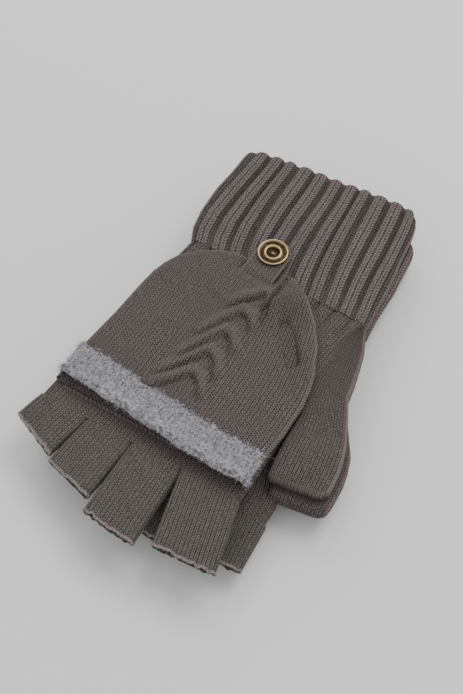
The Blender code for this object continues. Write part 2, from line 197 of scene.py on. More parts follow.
def noiseAt(tree, coords, scale, **inputs):
    return addNode(tree, "ShaderNodeTexNoise", None, Vector=coords, Scale=scale, **inputs).outputs["Fac"]


def mixed(tree, share, a, b):
    node = addNode(tree, "ShaderNodeMix", {"data_type": "RGBA"}, Factor=share)
    for socket, value in ((node.inputs[6], a), (node.inputs[7], b)):
        if isinstance(value, bpy.types.NodeSocket):
            tree.links.new(value, socket)
        else:
            socket.default_value = (*value, 1.0)
    return node.outputs[2]


def knitMaterial(name, look):
    # Reads the "stitch" attribute: x is 0 at the middle of a stitch column and 1 between columns,
    # y counts courses and z is tone: below 0 it paints shade, above 0 it mixes in the lighter edge colour.
    # Stitch height is a strand's roundness across the column times a cosine that leans outwards into a V,
    # and the low parts of each stitch are painted darker as shade.
    paint = bpy.data.materials.new(name)
    paint.use_nodes = True
    tree = paint.node_tree
    shader = tree.nodes["Principled BSDF"]
    stitch = addNode(tree, "ShaderNodeAttribute", {"attribute_name": "stitch"}).outputs["Vector"]
    parts = addNode(tree, "ShaderNodeSeparateXYZ", None, Vector=stitch)
    half, course, tone = parts.outputs
    coords = addNode(tree, "ShaderNodeTexCoord").outputs["Object"]
    lean = sums(tree, "MULTIPLY", sums(tree, "SUBTRACT", half, 0.5), look["lean"])
    phase = sums(tree, "MULTIPLY", sums(tree, "SUBTRACT", course, lean), 2 * math.pi)
    climb = sums(tree, "MULTIPLY_ADD", sums(tree, "COSINE", phase), 0.5, 0.5)
    roundness = sums(tree, "SINE", sums(tree, "MULTIPLY", half, math.pi))
    flat = sums(tree, "POWER", sums(tree, "SUBTRACT", 1.0, half, clamp=True), 2.0)
    flat = sums(tree, "MULTIPLY", flat, 0.35)
    across = sums(tree, "ADD", sums(tree, "MULTIPLY", roundness, 0.75), flat)
    height = sums(tree, "MULTIPLY", across, sums(tree, "MULTIPLY_ADD", climb, 0.65, 0.35))
    fibres = noiseAt(tree, coords, 2600.0, Detail=3.0, Roughness=0.7)
    heather = noiseAt(tree, coords, look["heatherScale"], Detail=2.0)
    patches = noiseAt(tree, coords, 38.0, Detail=2.0)
    # painted shade: the lower a place lies in its stitch, the darker it is painted
    shade = sums(tree, "MULTIPLY_ADD", height, look["stitchShadeContrast"], look["shade"])
    shade = sums(tree, "MULTIPLY_ADD", sums(tree, "SUBTRACT", heather, 0.5), look["heather"], shade)
    shade = sums(tree, "MULTIPLY_ADD", sums(tree, "SUBTRACT", fibres, 0.5), look["fibre"], shade)
    # below 0, tone paints shade in grooves, pleat, crease, rib valleys and inside the tubes; it also darkens
    # the band towards its upper edge
    darker = sums(tree, "MULTIPLY", sums(tree, "MINIMUM", tone, 0.0), 0.8)
    shade = sums(tree, "ADD", shade, darker, clamp=True)
    colour = mixed(tree, shade, look["valley"], look["ridge"])
    lift = sums(tree, "MULTIPLY_ADD", sums(tree, "SUBTRACT", patches, 0.5), 0.5, 0.15, clamp=True)
    colour = mixed(tree, lift, colour, look["patch"])
    # above 0, tone mixes in the lighter edge colour: painted highlight on rolled edges, raised cable strands
    # and the cuff's sides and end, and the lighter finger hems
    colour = mixed(tree, sums(tree, "MULTIPLY", tone, look["edgeShare"], clamp=True), colour, look["edge"])
    tree.links.new(colour, shader.inputs["Base Color"])
    shader.inputs["Roughness"].default_value = 0.95
    shader.inputs["Specular IOR Level"].default_value = 0.15
    shader.inputs["Sheen Weight"].default_value = look["sheen"]
    shader.inputs["Sheen Roughness"].default_value = 0.55
    shader.inputs["Sheen Tint"].default_value = (*look["edge"], 1.0)
    relief = sums(tree, "MULTIPLY_ADD", fibres, 0.22, height)
    bump = addNode(tree, "ShaderNodeBump", None, Strength=look["bump"], Distance=0.0005, Height=relief)
    tree.links.new(bump.outputs["Normal"], shader.inputs["Normal"])
    return paint


# valley is the colour painted as shade in the dips between stitches and ridge the stitches' tops; edge is the
# lighter colour that tone above 0 mixes in, mostly as painted highlight
knitLook = {
    "valley": (0.019, 0.0155, 0.014),
    "ridge": (0.222, 0.186, 0.172),
    "patch": (0.105, 0.088, 0.081),
    "edge": (0.34, 0.29, 0.27),
    "edgeShare": 0.5,
    "stitchShadeContrast": 1.6,
    "heather": 1.5,
    "heatherScale": 1300.0,
    "fibre": 0.8,
    "lean": 1.0,
    "shade": -0.24,
    "sheen": 0.12,
    "bump": 1.0,
}
ribLook = dict(knitLook, ridge=(0.226, 0.193, 0.179), patch=(0.12, 0.103, 0.097), shade=-0.14)
fingerLook = dict(
    knitLook,
    valley=(0.02, 0.018, 0.015),
    ridge=(0.205, 0.182, 0.162),
    patch=(0.1, 0.091, 0.08),
    edge=(0.46, 0.385, 0.355),
    edgeShare=0.9,
    shade=-0.2,
)
mohairLook = dict(
    knitLook,
    valley=(0.035, 0.032, 0.033),
    ridge=(0.43, 0.416, 0.437),
    patch=(0.25, 0.242, 0.255),
    edge=(0.72, 0.7, 0.73),
    edgeShare=0.35,
    heather=4.0,
    heatherScale=1000.0,
    sheen=0.35,
    shade=0.1,
)


def hairMaterial(name, colour):
    # one colour, patchily darkened as painted shade between the hairs, so that single hairs stand apart
    paint = bpy.data.materials.new(name)
    paint.use_nodes = True
    tree = paint.node_tree
    shader = tree.nodes["Principled BSDF"]
    coords = addNode(tree, "ShaderNodeTexCoord").outputs["Object"]
    noise = noiseAt(tree, coords, 600.0)
    # painted shade: the hair's colour darkened in patches
    dark = tuple(0.18 * part for part in colour)
    noise = sums(tree, "MULTIPLY_ADD", sums(tree, "SUBTRACT", noise, 0.5), 4.0, 0.42, clamp=True)
    tree.links.new(mixed(tree, noise, dark, colour), shader.inputs["Base Color"])
    shader.inputs["Roughness"].default_value = 0.8
    shader.inputs["Sheen Weight"].default_value = 0.3
    return paint


brassLook = {"bright": (0.53, 0.38, 0.19), "dark": (0.026, 0.018, 0.012), "scratchScale": 900.0}


def brassMaterial(name, look):
    # Bright on the rims, dark in the grooves: the "stitch" attribute's z holds the height share,
    # and noise wears it.
    paint = bpy.data.materials.new(name)
    paint.use_nodes = True
    tree = paint.node_tree
    shader = tree.nodes["Principled BSDF"]
    stitch = addNode(tree, "ShaderNodeAttribute", {"attribute_name": "stitch"}).outputs["Vector"]
    tone = addNode(tree, "ShaderNodeSeparateXYZ", None, Vector=stitch).outputs[2]
    coords = addNode(tree, "ShaderNodeTexCoord").outputs["Object"]
    noise = noiseAt(tree, coords, look["scratchScale"], Detail=4.0)
    wear = sums(tree, "MULTIPLY_ADD", sums(tree, "SUBTRACT", noise, 0.5), 0.7, tone, clamp=True)
    tree.links.new(mixed(tree, wear, look["dark"], look["bright"]), shader.inputs["Base Color"])
    shader.inputs["Metallic"].default_value = 1.0
    rough = sums(tree, "MULTIPLY_ADD", noise, 0.3, 0.2)
    tree.links.new(rough, shader.inputs["Roughness"])
    bump = addNode(tree, "ShaderNodeBump", None, Strength=0.25, Distance=0.0001, Height=noise)
    tree.links.new(bump.outputs["Normal"], shader.inputs["Normal"])
    return paint


def plainBrassMaterial(name, look):
    # the same two colours, mixed by noise alone
    paint = bpy.data.materials.new(name)
    paint.use_nodes = True
    tree = paint.node_tree
    shader = tree.nodes["Principled BSDF"]
    coords = addNode(tree, "ShaderNodeTexCoord").outputs["Object"]
    noise = noiseAt(tree, coords, look["scratchScale"], Detail=4.0)
    tree.links.new(mixed(tree, noise, look["dark"], look["bright"]), shader.inputs["Base Color"])
    shader.inputs["Metallic"].default_value = 1.0
    shader.inputs["Roughness"].default_value = 0.38
    return paint


paints = {
    "knit": knitMaterial("taupeStockinette", knitLook),
    "rib": knitMaterial("taupeRib", ribLook),
    "finger": knitMaterial("fingerStockinette", fingerLook),
    "mohair": knitMaterial("mohairBand", mohairLook),
    "hair": hairMaterial("mohairHair", (0.8, 0.785, 0.828)),
    "fuzz": hairMaterial("knitFuzz", (0.3, 0.27, 0.25)),
    "brass": brassMaterial("antiqueBrass", brassLook),
    "plainBrass": plainBrassMaterial("wornBrass", brassLook),
}
print("materials are made")


def smoothStep(low, high, value):
    share = np.clip((value - low) / (high - low), 0.0, 1.0)
    return share * share * (3.0 - 2.0 * share)


def lineDistance(x, y, points):
    # Distance from each place to a chain of straight legs, and the share of the chain's length at the
    # nearest place.
    best = np.full(x.shape, 1e9)
    along = np.zeros(x.shape)
    points = np.array(points, float)
    lengths = np.hypot(*np.diff(points, axis=0).T)
    starts = np.concatenate(([0.0], np.cumsum(lengths)))
    for a, b, start, length in zip(points, points[1:], starts, lengths):
        share = np.clip(((x - a[0]) * (b[0] - a[0]) + (y - a[1]) * (b[1] - a[1])) / length**2, 0.0, 1.0)
        away = np.hypot(x - a[0] - share * (b[0] - a[0]), y - a[1] - share * (b[1] - a[1]))
        nearer = away < best
        along = np.where(nearer, start + share * length, along)
        best = np.where(nearer, away, best)
    return best, along / starts[-1]


def stitchLift(half, course):
    # Height of a knit surface: a strand's roundness across its column, times a cosine that leans
    # outwards into a V.
    climb = 0.5 + 0.5 * np.cos(2 * np.pi * (course - (half - 0.5)))
    across = 0.75 * np.sin(np.pi * half) + 0.35 * (1.0 - half) ** 2
    return across * (0.35 + 0.65 * climb)


def waver(x, y, seed):
    # A gentle unevenness: three sine waves at slants, between -1 and 1.
    a = np.sin(x * 0.19 + y * 0.07 + seed) + np.sin(y * 0.23 - x * 0.05 + 2.1 * seed)
    return (a + np.sin((x + y) * 0.11 + 3.7 * seed)) / 3.0


def columnHalf(count):
    # 0 at the middle of a stitch column and 1 between columns, four columns of points to each.
    return np.abs((np.arange(count) / 4.0) % 1.0 - 0.5) * 2.0


def ovalRing(share, width, height, corner):
    # Places round a rounded rectangle: the core's corner share (sx, sz), and the outward normal (nx,
    # nz).
    flat, side, turn = width - 2 * corner, height - 2 * corner, 0.5 * math.pi * corner
    legs = np.cumsum([0.0, flat, turn, side, turn, flat, turn, side, turn])
    at = share * legs[-1]
    sx = np.interp(at, legs, [1, -1, -1, -1, -1, 1, 1, 1, 1])
    sz = np.interp(at, legs, [1, 1, 1, -1, -1, -1, -1, 1, 1])
    angle = np.interp(at, legs, [0.5, 0.5, 1, 1, 1.5, 1.5, 2, 2, 2.5]) * math.pi
    return sx, sz, np.cos(angle), np.sin(angle)


def gridFaces(rows, columns, first=0, flip=False):
    # Four-cornered faces between the rows of a grid whose columns close into a ring.
    k = np.arange(columns)
    r = np.arange(rows - 1)[:, None]
    a = first + r * columns + k
    b = first + r * columns + (k + 1) % columns
    faces = np.stack((a, b, b + columns, a + columns), axis=-1).reshape(-1, 4)
    return faces[:, ::-1] if flip else faces


def bridgeFaces(one, two, columns):
    # four-cornered faces between two rings that begin at points one and two
    k = np.arange(columns)
    j = (k + 1) % columns
    return np.stack((one + k, one + j, two + j, two + k), axis=-1)


floorPress = {"from": 8.9, "room": 0.55, "softness": 1.2}  # heights above the left mitten's middle


def knitObject(name, side, rings, stitches, faces, paint, merge=True):
    # A mesh from points in the mitten's frame, with its stitch attribute, its doubles merged and its
    # faces turned outwards.
    place = sides[side]
    if side == "left":
        # The left mitten's flap is pressed flat on the floor, 9.5 mm from its middle.
        rings = rings.copy()
        high = rings[:, 2]
        start, room, softness = floorPress.values()
        rings[:, 2] = np.where(high > start, start + room * np.tanh((high - start) / softness), high)
    spots = rings * np.array((1.0, 1.0, place["up"])) * mm + place["origin"]
    mesh = bpy.data.meshes.new(name)
    mesh.from_pydata(spots.tolist(), [], faces.tolist() if hasattr(faces, "tolist") else faces)
    layer = mesh.attributes.new("stitch", "FLOAT_VECTOR", "POINT")
    layer.data.foreach_set("vector", stitches.astype(np.float32).ravel())
    shape = bmesh.new()
    shape.from_mesh(mesh)
    if merge:
        bmesh.ops.remove_doubles(shape, verts=shape.verts, dist=1e-6)
        bmesh.ops.dissolve_degenerate(shape, edges=shape.edges, dist=1e-7)
    bmesh.ops.recalc_face_normals(shape, faces=shape.faces)
    shape.to_mesh(mesh)
    shape.free()
    mesh.shade_smooth()
    mesh.materials.append(paint)
    piece = bpy.data.objects.new(name, mesh)
    bpy.context.scene.collection.objects.link(piece)
    return piece


def shellObject(name, side, outer, outerStitch, inner, paint, closedEnd):
    # A knit tube, or a pouch where closedEnd is true: outer and inner rings of points, joined at the
    # open ends.
    rows, columns = outer.shape[:2]
    innerRows = inner.shape[0]
    first = rows * columns
    faces = [gridFaces(rows, columns), gridFaces(innerRows, columns, first, True)]
    faces.append(bridgeFaces(0, first, columns))
    if not closedEnd:
        faces.append(bridgeFaces((rows - 1) * columns, first + (innerRows - 1) * columns, columns))
    innerStitch = np.zeros(inner.shape)
    innerStitch[..., 0] = outerStitch[0, :, 0]
    innerStitch[..., 1] = np.linspace(0, innerRows, innerRows)[:, None] * 2.3
    # the inside is painted a little darker as shade
    innerStitch[..., 2] = -0.1
    points = np.concatenate((outer.reshape(-1, 3), inner.reshape(-1, 3)))
    stitches = np.concatenate((outerStitch.reshape(-1, 3), innerStitch.reshape(-1, 3)))
    return knitObject(name, side, points, stitches, np.concatenate(faces), paint)


def stitchField(rows, half, rowsPerCourse):
    # The stitch attribute of a whole grid: its place across a column, the courses counted, and a tone of 0.
    field = np.zeros((rows, len(half), 3))
    field[..., 0] = half
    field[..., 1] = (np.arange(rows) / rowsPerCourse)[:, None]
    return field


def overAndUnder(x, overY, overZ, underY, underZ):
    # One ring for each row: across the top from side to side, and back along the underside.
    over = np.stack((x, overY, overZ), -1)
    under = np.stack((x, underY, underZ), -1)[:, ::-1]
    return np.concatenate((over, under), axis=1)


def finish(piece, side, slot, body, *nodes):
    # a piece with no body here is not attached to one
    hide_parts(*[side + "_" + node for node in nodes])
    if body:
        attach(piece, side + "_" + body)


cuff = {
    "ribs": 24,
    "ribShare": 0.74,  # share of a rib's pitch that its knit columns take
    "ribDepth": 2.3,
    "ribStart": 0.45,  # share of that depth where the ribs meet the hand
    "ribValleyShade": 0.42,  # how dark the painted shade in the valleys is
    "course": 1.5,
    "stitch": 0.34,
    "wall": 1.7,
    "endCurl": 2.6,
    # y, middle x, half width, half height
    "stations": (
        (-96.9, -6.4, 47.0, 3.6),
        (-104.0, -4.8, 48.2, 4.1),
        (-114.0, -3.6, 48.6, 5.2),
        (-130.0, -2.6, 47.4, 6.0),
        (-160.0, -0.2, 44.0, 6.2),
    ),
    "slant": 0.1,  # how much further the end reaches for each millimetre towards the thumb
    "leftThumbTuck": 5.5,
    "cornerRound": (5.0, 2.6),  # how far the thumb side's corner and the outer one fall back
}
# Width, height and corner that stitches are spaced by. The cuff and hand share it, so the ribs run on.
tubeSection = (95.0, 9.0, 3.5)


def ribHeight(phase):
    # Height across one rib, 0 to 1: a rounded top over half of the phase, and a deep narrow valley
    # over the rest.
    top = 0.62 + 0.38 * np.sin(np.pi * np.clip(phase * 2, 0, 1)) ** 0.8
    valley = 0.62 - 0.62 * np.sin(np.pi * np.clip(phase * 2 - 1, 0, 1)) ** 0.6
    return np.where(phase < 0.5, top, valley)


def ribWarp(phase):
    # Where a phase lies in the rib's pitch, the knit half spread over ribShare of it.
    return np.interp(phase, [0, 0.5, 1], [0, cuff["ribShare"], 1])


def cuffEnd(x, centre, halfWide, run):
    # how far the end slants out towards the thumb, and how far its corners fall back
    slant = cuff["slant"] * (x - 8.0) * run**1.5
    thumbCorner, outerCorner = cuff["cornerRound"]
    away = np.clip(np.abs(x - centre) / halfWide, 0, 1)
    return slant, np.where(x < centre, thumbCorner, outerCorner) * away**10 * run**6


def makeCuff(side):
    # A rounded oblong tube swept along y through the stations, its wall rippled by the ribs round it
    # and by the stitches, and curled in at the end.
    end = sides[side]["cuffEnd"] - 3.0
    columns = cuff["ribs"] * 16
    index = np.arange(columns)
    phase = (index % 16) / 16.0
    rib = index // 16
    share = (rib + ribWarp(phase) + 0.07 * np.sin(rib * 2.4) * np.sin(np.pi * phase)) / cuff["ribs"]
    sx, sz, nx, nz = ovalRing(share, *tubeSection)
    stations = np.array(cuff["stations"])
    start = stations[0, 0]
    rows = int(round((start - end) / cuff["course"] * 3)) + 1
    run = np.linspace(0.0, 1.0, rows)
    reach = stations[:, 0]
    shrink = (start - end) / (start - reach[-1])
    y = start + (end - start) * run
    table = start + (reach - start) * shrink
    centre, halfWide, halfHigh = (np.interp(-y, -table, stations[:, i])[:, None] for i in (1, 2, 3))
    corner = np.minimum(halfHigh * 0.8, 4.0)
    half = np.abs((index / 4.0) % 1.0 - 0.5) * 2.0
    field = stitchField(rows, half, 3)
    ribAmount = smoothStep(-95.0, -116.0, y)[:, None]
    height = ribHeight(phase)[None, :]
    ribScale = cuff["ribStart"] + (1.0 - cuff["ribStart"]) * ribAmount
    lift = -cuff["ribDepth"] * ribScale * (1.0 - height)
    lift = lift + cuff["stitch"] * (stitchLift(half[None, :], field[..., 1]) - 0.5)
    fromEnd = np.clip((y - end) / cuff["endCurl"], 0.0, 1.0)[:, None]
    curl = 1.0 - np.sqrt(1.0 - (1.0 - fromEnd) ** 2)
    lift = lift - 1.9 * curl
    lift = lift + 0.45 * waver(share[None, :] * 190.0, y[:, None], 1.3)
    if side == "left":
        tuck = cuff["leftThumbTuck"] * (0.3 + 0.7 * smoothStep(-150.0, -100.0, y))[:, None]
        centre, halfWide = centre + tuck / 2, halfWide - tuck / 2
    outX = centre + sx * (halfWide - corner) + nx * (corner + lift)
    outZ = sz * (halfHigh - corner) + nz * (corner + lift)
    scallop = 1.1 * (1.0 - height) * smoothStep(0.75, 1.0, run)[:, None]
    sway = 0.7 * np.sin(share * 31.0 + 1.0)[None, :] * np.sin(y * 0.06 + 0.8)[:, None]
    sway = 0.5 * np.sin(y * 0.09)[:, None] + sway
    slant, cornerRound = cuffEnd(outX, centre, halfWide, run[:, None])
    outer = np.stack((outX + sway, y[:, None] + scallop + slant + cornerRound, outZ), axis=-1)
    # painted shade in the rib valleys and a painted highlight on the curled end; the next lines add a painted
    # highlight along the tube's rounded sides
    field[..., 2] = -cuff["ribValleyShade"] * (1.0 - height) * ribScale + 0.2 * curl
    edge = np.clip(1.0 - np.abs(np.abs(sz) - 0.3) / 0.3, 0, 1) * np.clip(np.abs(nx), 0, 1)
    field[..., 2] += 0.3 * edge
    innerRows = 14
    pick = np.linspace(0, rows - 1, innerRows).round().astype(int)
    inset = -(cuff["wall"] + 0.9) + 0.5 * (height - 0.5)
    inX = centre[pick] + sx * (halfWide[pick] - corner[pick]) + nx * (corner[pick] + inset)
    inZ = sz * (halfHigh[pick] - corner[pick]) + nz * (corner[pick] + inset)
    slant, cornerRound = cuffEnd(inX, centre[pick], halfWide[pick], run[pick][:, None])
    inY = np.clip(y[pick], end + 0.6, None)[:, None] + slant + cornerRound
    inner = np.stack((inX + sway[pick] * 0.8, inY, inZ), axis=-1)
    piece = shellObject(side + "Cuff", side, outer, field, inner, paints["rib"], False)
    finish(piece, side, "rib_knit", "hand_body", "cuff")


hand = {
    "wales": 112,
    "course": 1.36,
    "stitch": 0.3,
    "wall": 1.3,
    "corner": 3.0,
    "ribValleyShade": 0.19,
    # y, thumb edge x, outer edge x, top z, bottom z
    "stations": (
        (-97.2, -53.2, 39.6, 3.5, -3.6),
        (-84.4, -51.5, 41.2, 3.5, -4.4),
        (-71.8, -50.3, 43.2, 3.5, -4.9),
        (-48.5, -49.7, 45.4, 3.5, -5.0),
        (-29.1, -49.6, 47.2, 3.5, -4.6),
        (-8.0, -49.5, 50.4, 3.5, -3.6),
        (8.4, -49.5, 52.0, 3.5, -3.5),
    ),
}


def makeHand(side):
    # A rounded oblong tube swept along y through the stations. The cuff's ribs run on into it and fade.
    stations = np.array(hand["stations"])
    columns = hand["wales"] * 4
    share = np.arange(columns) / columns
    sx, sz, nx, nz = ovalRing(share, *tubeSection)
    rows = int(round((stations[-1, 0] - stations[0, 0]) / hand["course"] * 2)) + 1
    y = np.linspace(stations[0, 0], stations[-1, 0], rows)
    low, high, top, bottom = (np.interp(y, stations[:, 0], stations[:, i])[:, None] for i in (1, 2, 3, 4))
    if side == "left":
        low = low + (5.5 * smoothStep(-50.0, -80.0, y) - 6.5 * smoothStep(-22.0, 0.0, y))[:, None]
    half = columnHalf(columns)
    field = stitchField(rows, half, 2)
    ribShare = (share * cuff["ribs"]) % 1.0
    phase = np.interp(ribShare, [0, cuff["ribShare"], 1], [0, 0.5, 1])
    fade = smoothStep(-72.0, -97.0, y)[:, None]
    lift = -cuff["ribDepth"] * cuff["ribStart"] * fade * (1.0 - ribHeight(phase))[None, :]
    lift = lift + hand["stitch"] * (stitchLift(half[None, :], field[..., 1]) - 0.6)
    corner = hand["corner"]
    centre, halfWide = (low + high) / 2, (high - low) / 2
    middle, halfHigh = (top + bottom) / 2, (top - bottom) / 2
    outX = centre + sx * (halfWide - corner) + nx * (corner + lift)
    outZ = middle + sz * (halfHigh - corner) + nz * (corner + lift)
    outer = np.stack((outX, y[:, None] + 0 * outX, outZ), axis=-1)
    # painted shade in the rib valleys, fading as the ribs fade
    field[..., 2] = -hand["ribValleyShade"] * fade * (1.0 - ribHeight(phase))[None, :]
    innerRows = 10
    pick = np.linspace(0, rows - 1, innerRows).round().astype(int)
    inX = centre[pick] + sx * (halfWide[pick] - corner) + nx * (corner - hand["wall"])
    inZ = middle[pick] + sz * (halfHigh[pick] - corner) + nz * (corner - hand["wall"])
    inner = np.stack((inX, y[pick][:, None] + 0 * inX, inZ), axis=-1)
    piece = shellObject(side + "Hand", side, outer, field, inner, paints["knit"], False)
    finish(piece, side, "taupe_knit", "hand_body", "hand")


fingers = {
    # root middle x, root width, end middle (x, y), end width, slope of the end
    "pinky": (39.9, 24.6, (44.6, 26.6), 23.4, -0.42),
    "ring": (16.2, 23.2, (19.4, 37.0), 24.4, -0.25),
    "middle": (-8.0, 25.6, (-7.9, 47.4), 26.6, -0.1),
    "index": (-35.0, 29.4, (-43.2, 43.6), 29.9, 0.08),
}
fingerKnit = {
    "rootY": 7.9,
    "pitch": 1.9,
    "course": 1.36,
    "stitch": 0.3,
    "wall": 1.2,
    "corner": 1.7,
    "top": 3.5,
    "bottom": -3.5,
}


def makeFinger(side, finger, seed):
    # A flat tube whose middle and width go straight from root to end, thinning and sagging on the way.
    # The open end has a beaded hem, a little ragged.
    rootX, rootWide, (endX, endY), endWide, slope = fingers[finger]
    endY = endY - sides[side]["fingersShort"]
    if side == "left" and finger == "index":
        rootX, rootWide, endX = rootX - 3.6, rootWide + 7.2, endX - 0.8
    rootY = fingerKnit["rootY"]
    rounds = int(round((rootWide + endWide + 2 * 7.0 - 2.5) / fingerKnit["pitch"]))
    columns = rounds * 4
    share = np.arange(columns) / columns
    corner = fingerKnit["corner"]
    sx, sz, nx, nz = ovalRing(share, (rootWide + endWide) / 2, 7.0, corner)
    rows = int(round((endY - rootY) / fingerKnit["course"] * 3)) + 1
    run = np.linspace(0.0, 1.0, rows)[:, None]
    centre = rootX + (endX - rootX) * run
    halfWide = 0.5 * (rootWide + (endWide - rootWide) * run)
    top, bottom = fingerKnit["top"], fingerKnit["bottom"]
    middle, halfHigh = (top + bottom) / 2, (top - bottom) / 2
    half = columnHalf(columns)
    field = stitchField(rows, half, 3)
    lift = fingerKnit["stitch"] * (stitchLift(half[None, :], field[..., 1]) - 0.6)
    fromEnd = (1.0 - run) * (endY - rootY)
    chance = np.random.default_rng(seed)
    ragged = np.repeat(chance.normal(0.0, 0.28, rounds), 4)
    ragged = 0.5 * ragged + 0.25 * (np.roll(ragged, 1) + np.roll(ragged, -1))
    bead = 0.5 + 0.5 * np.cos(2 * np.pi * (np.arange(columns) / 4.0))
    hem = np.clip(1.0 - np.abs(fromEnd - 0.55) / 0.75, 0.0, 1.0)
    lift = lift + hem * (0.25 + 0.4 * bead) - 0.5 * np.clip(1.0 - fromEnd / 0.4, 0, 1)
    pinch = 1.0 - 0.5 * run**1.5
    outX = centre + sx * (halfWide - corner) + nx * (corner + lift)
    outZ = middle + (sz * (halfHigh - corner) + nz * (corner + lift)) * pinch
    skew = slope * run * (outX - centre)
    y = rootY + (endY - rootY) * run + skew + ragged * smoothStep(3.0, 0.0, fromEnd)
    sag = -1.0 * run**2 - 0.5 * run**2 * (1.0 - sx**2) * np.where(sz > 0, 1.0, 0.0)
    outer = np.stack((outX, y + 0 * outX, outZ + sag), axis=-1)
    field[..., 2] = (0.35 + 0.5 * bead) * smoothStep(1.5, 0.5, fromEnd + 0.35 * ragged)
    pick = np.linspace(0, rows - 1, 6).round().astype(int)
    inX = centre[pick] + sx * (halfWide[pick] - corner) + nx * (corner - fingerKnit["wall"])
    inZ = (sz * (halfHigh - corner) + nz * (corner - fingerKnit["wall"])) * pinch[pick]
    inZ = middle + inZ * (1 - 0.45 * run[pick]) + sag[pick]
    inner = np.stack((inX, y[pick] + 0 * inX, inZ), axis=-1)
    name = side + finger.capitalize() + "Finger"
    piece = shellObject(name, side, outer, field, inner, paints["finger"], False)
    finish(piece, side, "taupe_knit", "hand_body", "finger_" + finger)


thumb = {
    "wales": 17,
    "course": 1.36,
    "stitch": 0.3,
    "wall": 1.2,
    "roll": 2.6,  # how far in from an edge the pouch reaches its full height
    "top": 3.62,
    "bottom": -4.7,
    "tip": (-12.6, -8.4),  # y of the tip at the outer and inner corners
    "tipCorner": 5.5,
    "leftTuck": (6.8, 3.4),  # how much further in the left gusset and the left thumb lie
    "leftReach": 5.8,  # how much further the left tip reaches
    # y, outer edge x, inner edge x
    "stations": (
        (-97.0, -53.3, -50.6),
        (-90.0, -56.4, -46.5),
        (-84.4, -59.0, -45.4),
        (-71.8, -62.5, -45.2),
        (-60.1, -64.6, -45.2),
        (-52.0, -69.2, -45.6),
        (-46.0, -72.0, -48.6),
        (-40.0, -75.2, -50.0),
        (-32.0, -78.0, -50.2),
        (-25.0, -79.6, -50.6),
        (-16.0, -80.4, -51.6),
        (-2.0, -80.4, -54.0),
    ),
}


def edgeDrop(share):
    # How far a rounded corner falls back near the ends of the range -1 to 1, 0 to 1.
    out = np.clip((np.abs(share) - 0.62) / 0.38, 0.0, 1.0)
    return 1.0 - np.sqrt(1.0 - out**2)


def makeThumb(side):
    # A flat closed pouch between an outer and an inner edge, its height rising from the nearest edge
    # and levelling off. The gusset thins to nothing where it lies against the hand.
    stations = np.array(thumb["stations"])
    columns = thumb["wales"] * 4 + 1
    s = np.linspace(-1.0, 1.0, columns)
    rows = int(round(95.0 / thumb["course"] * 3)) + 1
    steps = np.linspace(stations[0, 0], stations[-1, 0], rows)[:, None]
    corner = np.where(s < 0, 1.0, 0.35)
    tipFirst, tipLast = (tip + (thumb["leftReach"] if side == "left" else 0.0) for tip in thumb["tip"])
    tipY = tipFirst + (tipLast - tipFirst) * (s + 1) / 2 - thumb["tipCorner"] * corner * edgeDrop(s)
    y = np.minimum(steps, tipY[None, :])
    low = np.interp(y, stations[:, 0], stations[:, 1])
    high = np.interp(y, stations[:, 0], stations[:, 2])
    if side == "left":
        gussetTuck, thumbTuck = thumb["leftTuck"]
        tuck = gussetTuck + (thumbTuck - gussetTuck) * smoothStep(-62.0, -38.0, y)
        low = low + tuck
        high = np.maximum(high + tuck * smoothStep(-55.0, -40.0, y), low + 2.5)
    x = (low + high) / 2 + s * (high - low) / 2
    free = smoothStep(-55.0, -45.0, y)
    dOuter = x - low
    dInner = high - x + (1.0 - free) * 20.0
    dTip = (tipY[None, :] - y) * 0.85
    distance = np.minimum(np.minimum(dOuter, dInner), dTip)
    roll = np.clip(distance / thumb["roll"], 0.0, 1.0)
    shape = (1.0 - (1.0 - roll) ** 2) ** 0.6
    half = columnHalf(columns)
    field = stitchField(rows, half, 3)
    lift = thumb["stitch"] * (stitchLift(half[None, :], field[..., 1]) - 0.6) * np.clip(roll * 2, 0, 1)
    feather = -1.2 * smoothStep(2.2, 0.0, high - x) * (1.0 - free)
    middle = (thumb["top"] + thumb["bottom"]) / 2
    droop = -2.2 * smoothStep(-40.0, 0.0, y) ** 1.5
    puff = 0.5 * smoothStep(-60.0, -25.0, y) * (1.0 - ((x + 66) / 20) ** 2)
    rim = 0.22 * np.exp(-(((distance - 1.1) / 0.6) ** 2))
    zTop = middle + (thumb["top"] + puff - middle) * shape + lift + feather + rim + droop
    zBottom = middle - (middle - thumb["bottom"]) * shape - lift + droop
    topField = field.copy()
    # painted highlight along the rolled edges
    topField[..., 2] = 0.55 * np.exp(-(((distance - 0.9) / 0.6) ** 2))
    outer = overAndUnder(x, y, zTop, y, zBottom)
    stitches = np.concatenate((topField, field[:, ::-1]), axis=1)
    pick = np.linspace(0, rows - 1, 16).round().astype(int)
    thin = np.clip(shape[pick] * 4.0 - thumb["wall"], 0.25, None)
    shrink = 1.0 - 1.6 * thumb["wall"] / (high - low)[pick]
    inX = ((low + high) / 2)[pick] + s * ((high - low) / 2)[pick] * shrink
    inY = np.minimum(y[pick], tipY[None, :] - 1.3)
    inTop = np.stack((inX, inY, middle + thin + droop[pick]), -1)
    inBottom = np.stack((inX, inY, middle - thin + droop[pick]), -1)[:, ::-1]
    inTop[-1, :, 2] = inBottom[-1, ::-1, 2] = middle + droop[-1]
    inner = np.concatenate((inTop, inBottom), axis=1)
    piece = shellObject(side + "Thumb", side, outer, stitches, inner, paints["knit"], True)
    finish(piece, side, "taupe_knit", None, "thumb")
    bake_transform(piece)


